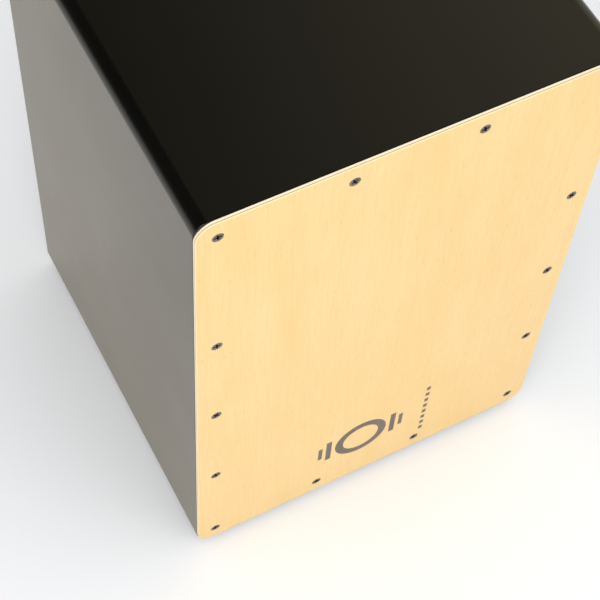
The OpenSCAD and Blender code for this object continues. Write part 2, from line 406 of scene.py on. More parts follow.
box = {
    "edgeRadius": 0.010,
    "edgeSteps": 32,
    "rimEase": 0.0009,
    "rimSteps": 4,
    "lip": 0.004,               # the wood left outside the rebate that takes the back
    "backRadius": 0.006,
    "backSteps": 12,
    "backEase": 0.0005,
    "past": 0.01,               # how far a cutter goes past the wood
}
halfWidth = -sideLo.x
boxLow = plateLo.z
boxHigh = plateHi.z
wall = sideHi.x - sideLo.x
frontY = plateHi.y
rearY = backHi.y


def makeShell():
    # one tube of board, which the mitres then part into four panels
    shell = block("boxTube", (-halfWidth, frontY, boxLow), (halfWidth, rearY, boxHigh))
    bevelEdges(shell, runsAlong(1, 0.1), box["edgeRadius"], box["edgeSteps"])
    for rimY in (frontY, rearY):
        bevelEdges(shell, inPlane(1, rimY), box["rimEase"], box["rimSteps"])
    cutAway(shell, block(
        "hollow",
        (wall - halfWidth, frontY - box["past"], boxLow + wall),
        (halfWidth - wall, rearY + box["past"], boxHigh - wall),
    ))
    rebate = block(
        "rebate",
        (box["lip"] - halfWidth, backLo.y, boxLow + box["lip"]),
        (halfWidth - box["lip"], rearY + box["past"], boxHigh - box["lip"]),
    )
    bevelEdges(rebate, runsAlong(1, 0.005), box["backRadius"], box["backSteps"])
    cutAway(shell, rebate)
    return shell


def paintOutside(panel, inner):
    # faces that look into the box are bare board
    dress(panel, satinBlack, bareBoard)
    for face in panel.data.polygons:
        face.material_index = 1 if inner(face.center, face.normal) else 0


def looksInside(middle, normal):
    edge = 1e-5
    return (
        abs(middle.x) < halfWidth - wall + edge
        and boxLow + wall - edge < middle.z < boxHigh - wall + edge
        and abs(normal.y) < 0.5
    )


def makePanels():
    shell = makeShell()
    # each mitre goes through a long corner of the tube: its x and z, and which way the kept side lies
    panels = {
        "side_left": ("sidePanelLeft", ((-halfWidth, boxHigh, -1, -1), (-halfWidth, boxLow, -1, 1))),
        "side_right": ("sidePanelRight", ((halfWidth, boxHigh, 1, -1), (halfWidth, boxLow, 1, 1))),
        "top_panel": ("topPanel", ((-halfWidth, boxHigh, 1, 1), (halfWidth, boxHigh, -1, 1))),
        "bottom_panel": ("bottomPanel", ((-halfWidth, boxLow, 1, -1), (halfWidth, boxLow, -1, -1))),
    }
    for node, (name, mitres) in panels.items():
        panel = copyOf(shell, name)
        for x, z, nx, nz in mitres:
            only(panel)
            bpy.ops.object.mode_set(mode="EDIT")
            bpy.ops.mesh.select_all(action="SELECT")
            bpy.ops.mesh.bisect(
                plane_co=(x, 0, z), plane_no=(nx, 0, nz), use_fill=True, clear_inner=True)
            bpy.ops.object.mode_set(mode="OBJECT")
        if node == "bottom_panel":
            drillBottom(panel)
        softenShading(panel)
        paintOutside(panel, looksInside)
        finishPiece(panel, "box", node, "body_paint")
    bpy.data.objects.remove(shell)


boltLo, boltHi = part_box("tuner_bolt_left")
tunerX = abs(boltLo.x + boltHi.x) / 2
tunerY = (boltLo.y + boltHi.y) / 2
tunerHole = {"wide": 0.0055, "deep": 0.0065, "through": 0.0028, "ease": 0.0004, "past": 0.002}


def drillBottom(panel):
    # a wide hole for each bolt's head, and a narrow one through to the inside
    seat = boxLow + tunerHole["deep"]
    for side in (-1, 1):
        bore = turned("bore", [
            (boxLow - tunerHole["past"], tunerHole["wide"]),
            (seat, tunerHole["wide"]),
            (seat, tunerHole["through"]),
            (boxLow + wall + tunerHole["past"], tunerHole["through"]),
        ], 40)
        cutAway(panel, moved(bore, (side * tunerX, tunerY, 0)))

    def onMouth(p):
        far = math.hypot(abs(p.x) - tunerX, p.y - tunerY)
        return abs(p.z - boxLow) < snug and abs(far - tunerHole["wide"]) < 1e-5

    bevelEdges(panel, lambda a, b: onMouth(a) and onMouth(b), tunerHole["ease"], 2)


makePanels()

soundHole = {"radius": 0.060, "height": 0.308, "sides": 128, "ease": 0.0014, "past": 0.02}


def makeBack():
    back = block("backPanel", backLo, backHi)
    bevelEdges(back, runsAlong(1, 0.004), box["backRadius"], box["backSteps"])
    bevelEdges(back, inPlane(1, rearY), box["backEase"], 2)
    radius, height, past = soundHole["radius"], soundHole["height"], soundHole["past"]
    bore = turned("bore", [(-past, radius), (past, radius)], soundHole["sides"])
    cutAway(back, moved(bore, (0, rearY, height), Matrix.Rotation(math.pi / 2, 4, "X")))

    def onHole(p):
        return math.hypot(p.x, p.z - height) < radius + 1e-4

    bevelEdges(
        back, lambda a, b: abs(a.y - b.y) < snug and onHole(a) and onHole(b), soundHole["ease"], 4)
    softenShading(back)
    paintOutside(back, lambda middle, normal: normal.y < -0.5)
    finishPiece(back, "box", "back_panel", "body_paint")


makeBack()
print("box ready")

# the playing plate

screwLo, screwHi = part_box("front_screws")
plate = {
    "cornerRadius": 0.014,
    "cornerSteps": 24,
    "frontEase": 0.0006,
    "backEase": 0.0003,
    "sinkRadius": 0.00415,
    "sinkRim": 0.0003,
    "shankRadius": 0.0021,
    "past": 0.002,          # how far the cutter starts in front of the plate
    "deep": 0.006,          # and how far it goes in
}
screw = {
    "headRadius": 0.004,
    "shankRadius": 0.002,
    "length": 0.020,
    "below": 0.00014,       # how far the head lies under the plate's face
    "crossWidth": 0.0062,
    "crossDepth": 0.0024,
    "rimSlope": 0.0006,     # the head's edge falls away over this width
    "rimHigh": 0.0003,
    "rimEase": 0.00012,
    "core": 0.84,           # the shank under its thread, as a share of its radius
    "crossEase": 0.00007,
    "pointLong": 0.003,
    "pointEnd": 0.1,        # the point's blunt end, as a share of the radius
    "ridge": 0.0003,
    "pitch": 0.0014,
    "threadFrom": 0.0035,
    "threadTo": 0.0175,
    "cornerGap": 0.128,     # from a top corner screw down to the next one
    "firstTurn": 17,        # degrees, so that no two recesses lie the same way
    "nextTurn": 53,
}


def screwPlaces():
    sideX = (screwHi.x - screwLo.x) / 2 - screw["headRadius"]
    lowZ = screwLo.z + screw["headRadius"]
    highZ = screwHi.z - screw["headRadius"]
    sideStep = (highZ - screw["cornerGap"] - lowZ) / 3
    rows = [(side * sideX, lowZ + i * sideStep) for side in (-1, 1) for i in range(4)]
    rows += [(side * sideX, highZ) for side in (-1, 1)]
    rows += [(side * sideX / 3, z) for side in (-1, 1) for z in (lowZ, highZ)]
    return rows


# turns a piece that points up so that it points along +Y
intoPlate = Matrix.Rotation(-math.pi / 2, 4, "X")

birch = {
    "pale": rgb(0.765, 0.558, 0.268),
    "warm": rgb(0.715, 0.475, 0.175),
    "fibre": rgb(0.64, 0.40, 0.135),
    "glue": rgb(0.22, 0.115, 0.045),
    "core": rgb(0.92, 0.80, 0.60),
    # a paler cream for the front veneer's eased edge: partly the cut veneer's own tone, partly a
    # painted highlight along the rounded edge
    "eased": rgb(0.86, 0.70, 0.45),
    "ink": rgb(0.075, 0.058, 0.05),
    "roughLow": 0.34,
    "roughHigh": 0.46,
    # how deep the layers lie, as shares of the plate's thickness from its front
    "faceFrom": 0.015,
    "glueFrom": 0.30,
    "coreFrom": 0.41,
    "coreTo": 0.98,
    "inkTo": 0.2,
}
emblem = {
    "x": -0.009, "z": 0.0715,
    "ring": 0.0195, "ringWidth": 0.0036,
    # each bar: along and up from the ring's middle, half its width, half its height
    "bars": (
        (-0.0290, 0.0, 0.0024, 0.0150), (-0.0365, 0.0, 0.0018, 0.0090),
        (0.0290, 0.0, 0.0024, 0.0150), (0.0365, 0.0, 0.0018, 0.0090),
    ),
    # a row of small blocks beside it: along, up to the lowest, step, count, half width, half height
    "blocks": (0.0590, -0.034, 0.0095, 8, 0.0018, 0.0026),
    "soft": 0.00012,
}


def printMask(look, x, z):
    # a plain ring between two pairs of short bars, with a row of small blocks beside them
    px = look.math("SUBTRACT", x, emblem["x"])
    pz = look.math("SUBTRACT", z, emblem["z"])
    squares = look.math("ADD", look.math("MULTIPLY", px, px), look.math("MULTIPLY", pz, pz))
    off = look.math("ABSOLUTE", look.math("SUBTRACT", look.math("SQRT", squares), emblem["ring"]))
    gap = look.math("SUBTRACT", off, emblem["ringWidth"])
    across, low, step, count, halfW, halfH = emblem["blocks"]
    blocks = tuple((across, low + step * n, halfW, halfH) for n in range(count))
    for along, up, halfW, halfH in emblem["bars"] + blocks:
        dx = look.math("SUBTRACT", look.math("ABSOLUTE", look.math("SUBTRACT", px, along)), halfW)
        dz = look.math("SUBTRACT", look.math("ABSOLUTE", look.math("SUBTRACT", pz, up)), halfH)
        gap = look.math("MINIMUM", gap, look.math("MAXIMUM", dx, dz))
    return look.ranged(gap, -emblem["soft"], emblem["soft"], 1.0, 0.0)


def birchLook():
    look = Look("birchPlywood")
    x, y, z = look.axes()[0:3]
    # grain: broad bands, clouds, short mottling, long fibres and a few dark flecks
    wander = look.noise(look.stretched((5, 5, 2.2)), detail=3)
    drift = look.math("MULTIPLY", look.math("SUBTRACT", wander, 0.5), 3.0)
    bands = look.add("ShaderNodeTexWave", {
        "Vector": look.stretched((1, 0.2, 0.11)), "Scale": 9.0, "Distortion": 5.0, "Detail": 2.5,
        "Detail Scale": 1.6, "Detail Roughness": 0.55, "Phase Offset": drift,
    }, wave_type="BANDS", bands_direction="X").outputs["Fac"]
    fibre = look.noise(look.stretched((1500, 700, 26)), detail=3, rough=0.6)
    mottle = look.noise(look.stretched((46, 46, 15)), detail=3, rough=0.6, warp=0.3)
    fleck = look.noise(look.stretched((2100, 900, 120)), detail=1)
    cloud = look.noise(look.stretched((16, 16, 7)), detail=4, rough=0.6, warp=0.5)
    colour = look.mix(look.ranged(bands, 0.0, 1.0, 0.3, 0.5), birch["pale"], birch["warm"])
    colour = look.mix(look.ranged(cloud, 0.35, 0.65, 0.0, 0.7), colour, birch["warm"])
    colour = look.mix(look.ranged(mottle, 0.3, 0.7, 0.0, 0.5), colour, birch["pale"])
    colour = look.mix(look.ranged(fibre, 0.42, 0.72, 0.0, 0.36), colour, birch["fibre"])
    colour = look.mix(look.ranged(fleck, 0.66, 0.74, 0.0, 0.2), colour, birch["glue"])
    # veneers along the edge, counted from the front face
    depth = look.ranged(y, plateLo.y, plateHi.y)
    grain = look.noise(look.stretched((900, 900, 900)), detail=2)
    core = look.mix(look.ranged(grain, 0.35, 0.65, 0.0, 0.3), birch["core"], birch["pale"])
    colour = look.mix(look.layer(depth, birch["coreFrom"], birch["coreTo"]), colour, core)
    # the front veneer's edge, rounded at the front, is mixed toward a paler cream: partly the cut
    # veneer's tone, partly a painted highlight
    edge = look.layer(depth, birch["faceFrom"], birch["glueFrom"], 0.7)
    colour = look.mix(edge, colour, birch["eased"])
    glue = look.layer(depth, birch["glueFrom"], birch["coreFrom"])
    colour = look.mix(look.math("MULTIPLY", glue, 0.9), colour, birch["glue"])
    # the print, a little worn
    onFace = look.math("LESS_THAN", depth, birch["inkTo"])
    ink = look.math("MULTIPLY", printMask(look, x, z), onFace)
    worn = look.ranged(look.noise(look.stretched((900, 900, 300)), detail=2), 0.2, 0.45, 0.8, 0.97)
    colour = look.mix(look.math("MULTIPLY", ink, worn), colour, birch["ink"])
    return look.done(
        colour=colour,
        rough=look.ranged(mottle, 0.3, 0.7, birch["roughLow"], birch["roughHigh"]),
        normal=look.bump(ink, 0.2, 0.00003, look.bump(fibre, 0.12, 0.00005)),
    )


birchPly = birchLook()


def makePlate():
    board = block("playingPlate", plateLo, plateHi)
    bevelEdges(board, runsAlong(1, 0.002), plate["cornerRadius"], plate["cornerSteps"])
    bevelEdges(board, inPlane(1, plateLo.y), plate["frontEase"], 3)
    bevelEdges(board, inPlane(1, plateHi.y), plate["backEase"], 3)
    cone = plate["sinkRadius"] - plate["shankRadius"]
    sinks = []
    for x, z in screwPlaces():
        sink = turned("sink", [
            (-plate["past"], plate["sinkRadius"]), (plate["sinkRim"], plate["sinkRadius"]),
            (plate["sinkRim"] + cone, plate["shankRadius"]), (plate["deep"], plate["shankRadius"]),
        ], 40)
        sinks.append(moved(sink, (x, plateLo.y, z), intoPlate))
    cutAway(board, joinAll(sinks))
    softenShading(board)
    finishPiece(board, "box", "front_plate", "plate_ply", birchPly)


makePlate()
print("playing plate ready")

# metals


def metalLook(name, low, high, roughLow, roughHigh, streak, metal=1.0):
    look = Look(name)
    brushed = look.noise(look.stretched(streak), detail=3, rough=0.6)
    cloud = look.noise(look.stretched((260, 260, 260)), detail=3)
    return look.done(
        colour=look.mix(look.ranged(cloud, 0.3, 0.7), low, high),
        rough=look.ranged(brushed, 0.3, 0.7, roughLow, roughHigh),
        metal=metal,
        normal=look.bump(brushed, 0.06, 0.00004),
    )


blackSteel = metalLook(
    "blackOxideSteel", rgb(0.11, 0.104, 0.09), rgb(0.205, 0.195, 0.17), 0.285, 0.4,
    (900, 900, 900), 0.95)
# painted shade: a near-black steel for the walls and floor of the screws' cross recesses
recessShadeSteel = metalLook(
    "recessShadeSteel", rgb(0.012, 0.010, 0.007), rgb(0.03, 0.026, 0.02), 0.45, 0.6,
    (900, 900, 900), 0.9)
zincSteel = metalLook(
    "zincPlate", rgb(0.50, 0.50, 0.47), rgb(0.68, 0.68, 0.66), 0.285, 0.42, (500, 1200, 1200))
brass = metalLook(
    "turnedBrass", rgb(0.62, 0.42, 0.16), rgb(0.80, 0.58, 0.26), 0.18, 0.265, (1500, 300, 1500))

# screws


def crossCutter(width, depth):
    # two crossed bars that narrow towards the bottom of the recess
    above = 0.001       # they start this far off the head
    bars = []
    for turn in (0, math.pi / 2):
        bar = block("bar", (-width / 2, -width / 8, -above), (width / 2, width / 8, depth))
        pick(bar, "FACE", lambda middle, normal: normal.z > 0.9)
        bpy.ops.transform.resize(value=(0.4, 0.6, 1), center_override=(0, 0, depth))
        bpy.ops.object.mode_set(mode="OBJECT")
        bar.data.transform(Matrix.Rotation(turn, 4, "Z"))
        bars.append(bar)
    return bars


def thread(radius, ridge, pitch, low, high):
    # one ridge wound round a shank
    deselectAll()
    bpy.ops.mesh.primitive_circle_add(vertices=3, radius=1, fill_type="NOTHING")
    obj = bpy.context.object
    obj.name = "ridge"
    root, half = radius - ridge * 0.3, pitch * 0.4
    corners = ((root, -half), (radius + ridge, 0), (root, half))
    for vertex, (r, z) in zip(obj.data.vertices, corners):
        vertex.co = (r, 0, low + pitch * 0.5 + z)
    only(obj)
    bpy.ops.object.modifier_add(type="SCREW")
    wind = obj.modifiers[-1]
    wind.screw_offset = pitch
    wind.iterations = int((high - low - pitch) / pitch)
    wind.steps = wind.render_steps = 16
    wind.use_normal_calculate = True
    bpy.ops.object.modifier_apply(modifier=wind.name)
    bpy.context.tool_settings.mesh_select_mode = (False, True, False)
    bpy.ops.object.mode_set(mode="EDIT")
    bpy.ops.mesh.select_all(action="SELECT")
    bpy.ops.mesh.remove_doubles(threshold=1e-7)
    # the two open ends are closed
    bpy.ops.mesh.select_all(action="DESELECT")
    bpy.ops.mesh.select_non_manifold()
    bpy.ops.mesh.fill()
    bpy.ops.mesh.select_all(action="SELECT")
    bpy.ops.mesh.normals_make_consistent(inside=False)
    bpy.ops.object.mode_set(mode="OBJECT")
    return obj


def isRecess(middle, normal):
    # walls that look at the screw's middle, and the recess's floor, which get the painted shade
    onWall = normal.x * middle.x + normal.y * middle.y < -1e-5 and normal.z > -0.6
    return onWall or (normal.z < -0.9 and middle.z > screw["crossDepth"] / 2)


def countersunkScrew():
    head, shank = screw["headRadius"], screw["shankRadius"]
    core = shank * screw["core"]
    body = turned("plateScrews", [
        (screw["below"], head - screw["rimSlope"]),
        (screw["rimHigh"], head),
        (screw["rimHigh"] + head - shank, core),
        (screw["length"] - screw["pointLong"], core),
        (screw["length"], shank * screw["pointEnd"]),
    ], 40)
    bevelEdges(body, lambda a, b: max(a.z, b.z) < screw["below"] + snug, screw["rimEase"], 2)
    for bar in crossCutter(screw["crossWidth"], screw["crossDepth"]):
        cutAway(body, bar)
    softBevel(body, screw["crossEase"], 1, 45)
    softenShading(body, 30)
    # no light gets down into the recess, so its walls and floor get a nearly black steel: painted shade
    dress(body, blackSteel, recessShadeSteel)
    for face in body.data.polygons:
        face.material_index = 1 if isRecess(face.center, face.normal) else 0
    return joinAll([
        body, thread(core, screw["ridge"], screw["pitch"], screw["threadFrom"], screw["threadTo"])])


def makePlateScrews():
    first = countersunkScrew()
    copies = []
    for number, (x, z) in enumerate(screwPlaces()):
        spin = math.radians(screw["firstTurn"] + screw["nextTurn"] * number)
        turn = intoPlate @ Matrix.Rotation(spin, 4, "Z")
        copies.append(copyOf(first, "plateScrews", (x, plateLo.y, z), turn))
    bpy.data.objects.remove(first)
    screws = joinAll(copies)
    screws.name = "plateScrews"
    finishPiece(screws, "box", "front_screws", "black_screw")


makePlateScrews()
print("screws ready")

# the inner frame

pine = {
    "early": rgb(0.62, 0.42, 0.22),
    "late": rgb(0.42, 0.24, 0.105),
    "roughLow": 0.6,
    "roughHigh": 0.8,
    "edgeEase": 0.0007,
}


def pineLook(name, along):
    # along is the axis that the grain runs down: 0, 1 or 2
    look = Look(name)
    scale = [60.0, 60.0, 60.0]
    scale[along] = 2.2
    fine = [1400.0, 1400.0, 1400.0]
    fine[along] = 30.0
    rings = look.add("ShaderNodeTexWave", {
        "Vector": look.stretched(scale), "Scale": 2.3, "Distortion": 2.2, "Detail": 2.0,
        "Detail Scale": 0.8,
    }, wave_type="RINGS", rings_direction="XYZ"[along]).outputs["Fac"]
    fibre = look.noise(look.stretched(fine), detail=3, rough=0.65)
    cloud = look.noise(look.stretched((20, 20, 20)), detail=2)
    colour = look.mix(look.ranged(rings, 0.35, 0.95, 0.0, 0.75), pine["early"], pine["late"])
    colour = look.mix(look.ranged(fibre, 0.3, 0.7, 0.0, 0.3), colour, pine["early"])
    colour = look.mix(look.ranged(cloud, 0.3, 0.7, 0.0, 0.2), colour, pine["late"])
    return look.done(
        colour=colour,
        rough=look.ranged(fibre, 0.3, 0.7, pine["roughLow"], pine["roughHigh"]),
        normal=look.bump(fibre, 0.25, 0.00012),
    )


pineX, pineY, pineZ = (pineLook("planedPine" + axis, n) for n, axis in enumerate("XYZ"))

frameParts = {
    "front_batten_left": ("battenLeft", pineZ),
    "front_batten_right": ("battenRight", pineZ),
    "front_batten_top": ("battenTop", pineX),
    "front_batten_bottom": ("battenBottom", pineX),
    "corner_block_top_left": ("cornerBlockTopLeft", pineY),
    "corner_block_top_right": ("cornerBlockTopRight", pineY),
    "corner_block_bottom_left": ("cornerBlockBottomLeft", pineY),
    "corner_block_bottom_right": ("cornerBlockBottomRight", pineY),
}
for node, (name, look) in frameParts.items():
    finishPiece(fromCad(node, name, pine["edgeEase"]), "box", node, "frame_wood", look)
print("inner frame ready")

# feet

foot = {
    "lowRadius": 0.012,
    "highRadius": 0.014,
    "recess": 0.0065,
    "recessDeep": 0.0045,
    "hole": 0.002,
    "past": 0.002,
    "lowEase": 0.0013,
    "recessEase": 0.0006,
    "highEase": 0.0005,
    "clean": rgb(0.016, 0.016, 0.016),
    "scuffed": rgb(0.045, 0.044, 0.042),
    "roughLow": 0.62,
    "roughHigh": 0.85,
}
footScrew = {"shankRadius": 0.002, "headRadius": 0.004, "headHigh": 0.0025}


def rubberLook():
    look = Look("mouldedRubber")
    grit = look.noise(look.stretched((1900, 1900, 1900)), detail=3, rough=0.7)
    scuff = look.noise(look.stretched((120, 120, 300)), detail=4)
    return look.done(
        colour=look.mix(look.ranged(scuff, 0.4, 0.75), foot["clean"], foot["scuffed"]),
        rough=look.ranged(grit, 0.3, 0.7, foot["roughLow"], foot["roughHigh"]),
        normal=look.bump(grit, 0.25, 0.00008),
    )


rubber = rubberLook()
footLo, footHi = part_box("foot_rear_right")
footX = (footLo.x + footHi.x) / 2
footY = (footLo.y + footHi.y) / 2


def makeFoot():
    deselectAll()
    height = boxLow
    bpy.ops.mesh.primitive_cone_add(
        vertices=64, radius1=foot["lowRadius"], radius2=foot["highRadius"],
        depth=height, location=(0, 0, height / 2))
    obj = bpy.context.object
    settle(obj)
    pick(obj, "FACE", lambda middle, normal: normal.z < -0.9)
    bpy.ops.mesh.inset(thickness=foot["lowRadius"] - foot["recess"])
    bpy.ops.mesh.extrude_region_move(TRANSFORM_OT_translate={"value": (0, 0, foot["recessDeep"])})
    bpy.ops.object.mode_set(mode="OBJECT")
    past, hole = foot["past"], foot["hole"]
    cutAway(obj, turned("bore", [(-past, hole), (height + past, hole)], 32))
    for z, radius, ease in (
        (0, foot["lowRadius"], foot["lowEase"]),
        (0, foot["recess"], foot["recessEase"]),
        (height, foot["highRadius"], foot["highEase"]),
    ):
        def onRim(p):
            return abs(p.z - z) < snug and abs(math.hypot(p.x, p.y) - radius) < 1e-4

        bevelEdges(obj, lambda a, b: onRim(a) and onRim(b), ease, 4)
    softenShading(obj, 50)
    return obj


def makeFeet():
    first = makeFoot()
    for node, name, x, y in (
        ("foot_front_left", "footFrontLeft", -footX, -footY),
        ("foot_front_right", "footFrontRight", footX, -footY),
        ("foot_rear_left", "footRearLeft", -footX, footY),
        ("foot_rear_right", "footRearRight", footX, footY),
    ):
        finishPiece(copyOf(first, name, (x, y, 0)), "box", node, "foot_rubber", rubber)
    bpy.data.objects.remove(first)


def panScrew(name, kind, length):
    # stands on its head's seat at z = 0, with its point up, in shares of its head and shank
    shank, headR, headH = kind["shankRadius"], kind["headRadius"], kind["headHigh"]
    core = shank * 0.86
    body = turned(name, [
        (-headH, headR * 0.55), (-headH * 0.8, headR * 0.85), (-headH * 0.4, headR), (0, headR),
        (0, core), (length - shank * 1.4, core), (length, shank * 0.12),
    ], 32)
    for bar in crossCutter(headR * 1.05, headH * 0.72):
        cutAway(body, moved(bar, (0, 0, -headH)))
    softBevel(body, 0.00006, 1, 50)
    softenShading(body, 40)
    return joinAll([body, thread(core, shank * 0.14, shank * 0.7, shank, length - shank)])


def scatter(first, name, places, turnBy):
    copies = [
        copyOf(first, name, place, Matrix.Rotation(math.radians(turnBy * n + 20), 4, "Z"))
        for n, place in enumerate(places)
    ]
    bpy.data.objects.remove(first)
    group = joinAll(copies)
    group.name = name
    return group


def makeFootScrews():
    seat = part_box("foot_washers")[0].z
    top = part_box("foot_screws")[1].z
    places = [(x, y, seat) for x in (-footX, footX) for y in (-footY, footY)]
    group = scatter(panScrew("footScrew", footScrew, top - seat), "footScrews", places, 37)
    finishPiece(group, "box", "foot_screws", "zinc_steel", zincSteel)
    washers = fromCad("foot_washers", "footWashers", 0.00012)
    finishPiece(washers, "box", "foot_washers", "zinc_steel", zincSteel)


makeFeet()
makeFootScrews()
print("feet ready")

# strings and their holders

snare = {
    "radius": 0.00043,
    "bend": 0.0012,         # how far from a corner the string starts to turn
    "tailShort": 0.0002,
    "ballRadius": 0.002,
    "winding": 0.00028,
    "dull": rgb(0.60, 0.37, 0.18),
    "bright": rgb(0.74, 0.52, 0.30),
    "groove": rgb(0.12, 0.07, 0.035),
    "roughLow": 0.285,
    "roughHigh": 0.4,
}


def woundLook():
    look = Look("woundString")
    z = look.axes()[2]
    winds = look.math("SINE", look.math("MULTIPLY", z, 2 * math.pi / snare["winding"]))
    stain = look.noise(look.stretched((500, 500, 60)), detail=3)
    colour = look.mix(look.ranged(stain, 0.3, 0.7), snare["dull"], snare["bright"])
    colour = look.mix(look.ranged(winds, -1, -0.3, 0.6, 0.0), colour, snare["groove"])
    return look.done(
        colour=colour,
        rough=look.ranged(stain, 0.3, 0.7, snare["roughLow"], snare["roughHigh"]),
        metal=1.0,
        normal=look.bump(winds, 0.35, 0.00005),
    )


wound = woundLook()


def makeString(node, name, side, outer):
    # side and outer are -1 or 1: which half of the box, and which string of its pair
    lo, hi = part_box(node)
    ballLo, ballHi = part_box("ball_ends_left" if side < 0 else "ball_ends_right")
    topLo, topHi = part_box("ball_ends_top")
    lowX = ballHi.x - snare["ballRadius"] if outer * side > 0 else ballLo.x + snare["ballRadius"]
    highX = side * (max(abs(lo.x), abs(hi.x)) - snare["radius"])
    lineY = lo.y + snare["radius"]
    low = Vector((lowX, lineY, (ballLo.z + ballHi.z) / 2))
    high = Vector((highX, lineY, (topLo.z + topHi.z) / 2))
    down = (low - high).normalized() * snare["bend"]
    tail = Vector((0, hi.y - lineY - snare["tailShort"], 0))
    back = Vector((0, snare["bend"], 0))
    points = [
        low + tail, low + back, low + (back - down) * 0.3, low - down,
        high + down, high + (back + down) * 0.3, high + back, high + tail,
    ]
    curve = bpy.data.curves.new(name, "CURVE")
    curve.dimensions = "3D"
    curve.bevel_depth = snare["radius"]
    curve.bevel_resolution = 3
    curve.use_fill_caps = True
    line = curve.splines.new("POLY")
    line.points.add(len(points) - 1)
    for point, spot in zip(line.points, points):
        point.co = (*spot, 1)
    obj = bpy.data.objects.new(name, curve)
    bpy.context.scene.collection.objects.link(obj)
    only(obj)
    bpy.ops.object.convert(target="MESH")
    softenShading(obj, 60)
    dress(obj, wound)
    # it stretches between the box and its carriage
    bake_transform(obj)
    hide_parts(node)


for node, name, side, outer in (
    ("string_left_outer", "stringLeftOuter", -1, 1),
    ("string_left_inner", "stringLeftInner", -1, -1),
    ("string_right_inner", "stringRightInner", 1, -1),
    ("string_right_outer", "stringRightOuter", 1, 1),
):
    makeString(node, name, side, outer)

# node, piece, body, how much its edges are eased, slot, look
hardware = (
    ("string_hanger_left", "stringHangerLeft", "box", 0.0003, "zinc_steel", zincSteel),
    ("string_hanger_right", "stringHangerRight", "box", 0.0003, "zinc_steel", zincSteel),
    ("ball_ends_top", "ballEndsTop", "box", 0.00025, "ball_brass", brass),
    ("ball_ends_left", "ballEndsLeft", "carriage_left", 0.00025, "ball_brass", brass),
    ("ball_ends_right", "ballEndsRight", "carriage_right", 0.00025, "ball_brass", brass),
    ("string_carriage_left", "stringCarriageLeft", "carriage_left", 0.0003, "zinc_steel", zincSteel),
    ("string_carriage_right", "stringCarriageRight", "carriage_right", 0.0003, "zinc_steel", zincSteel),
    ("tuner_washer_left", "tunerWasherLeft", "box", 0.0001, "zinc_steel", zincSteel),
    ("tuner_washer_right", "tunerWasherRight", "box", 0.0001, "zinc_steel", zincSteel),
    ("guide_pin_left", "guidePinLeft", "box", 0.0003, "zinc_steel", zincSteel),
    ("guide_pin_right", "guidePinRight", "box", 0.0003, "zinc_steel", zincSteel),
)
for node, name, body, ease, slot, look in hardware:
    finishPiece(fromCad(node, name, ease), body, node, slot, look)

hangerScrew = {"shankRadius": 0.0015, "headRadius": 0.0028, "headHigh": 0.002, "apart": 0.014}


def makeHangerScrews():
    lo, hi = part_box("hanger_screws")
    seat = lo.z + hangerScrew["headHigh"]
    farX = hi.x - hangerScrew["headRadius"]
    nearX = farX - hangerScrew["apart"]
    places = [(side * x, (lo.y + hi.y) / 2, seat) for side in (-1, 1) for x in (nearX, farX)]
    group = scatter(panScrew("hangerScrew", hangerScrew, hi.z - seat), "hangerScrews", places, 29)
    finishPiece(group, "box", "hanger_screws", "zinc_steel", zincSteel)


makeHangerScrews()

tuner = {
    "headRadius": 0.00425,
    "headHigh": 0.005,
    "mouthEase": 0.0004,
    "neckEase": 0.0003,
    "knurls": 72,           # faces round the head, and every other one goes in
    "knurlRim": 0.00004,
    "knurlIn": 0.97,
    "socketFlats": 0.004,
    "socketDeep": 0.003,
    "socketCone": 0.0007,
    "socketPoint": 0.0003,
    "past": 0.001,
    "shankRadius": 0.0025,
    "core": 0.9,            # the shank under its thread, as a share of its radius
    "tip": 0.75,
    "tipLong": 0.0006,
    "pitch": 0.0008,
    "bare": 0.001,          # unthreaded length under the head
}


def makeTunerBolt(side):
    word = "Left" if side < 0 else "Right"
    node = "tuner_bolt_" + word.lower()
    lo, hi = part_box(node)
    head, headHigh = tuner["headRadius"], tuner["headHigh"]
    shank, pitch = tuner["shankRadius"], tuner["pitch"]
    core = shank * tuner["core"]
    length = hi.z - lo.z
    body = turned("tunerBolt", [
        (0, head - tuner["mouthEase"]), (tuner["mouthEase"], head),
        (headHigh - tuner["neckEase"], head), (headHigh, head - tuner["neckEase"]),
        (headHigh, core), (length - tuner["tipLong"], core), (length, shank * tuner["tip"]),
    ], tuner["knurls"])

    def isKnurl(middle, normal):
        turn = math.degrees(math.atan2(middle.y, middle.x))
        place = int(round(turn * tuner["knurls"] / 360 - 0.5))
        onWall = abs(normal.z) < 0.1 and math.hypot(middle.x, middle.y) > head * 0.9
        return onWall and place % 2 == 0

    pick(body, "FACE", isKnurl)
    bpy.ops.mesh.inset(thickness=tuner["knurlRim"], use_individual=True)
    bpy.ops.transform.resize(value=(tuner["knurlIn"], tuner["knurlIn"], 1), center_override=(0, 0, 0))
    bpy.ops.object.mode_set(mode="OBJECT")
    corner = tuner["socketFlats"] / math.sqrt(3)
    cutAway(body, turned("socket", [
        (-tuner["past"], corner), (tuner["socketDeep"], corner),
        (tuner["socketDeep"] + tuner["socketCone"], tuner["socketPoint"]),
    ], 6))
    softenShading(body, 30)
    ridge = thread(core, shank - core, pitch, headHigh + tuner["bare"], length - pitch)
    bolt = moved(joinAll([body, ridge]), ((lo.x + hi.x) / 2, (lo.y + hi.y) / 2, lo.z))
    bolt.name = "tunerBolt" + word
    finishPiece(bolt, "bolt_" + word.lower(), node, "black_screw", blackSteel)


makeTunerBolt(-1)
makeTunerBolt(1)
print("strings and tuners ready")

# studio

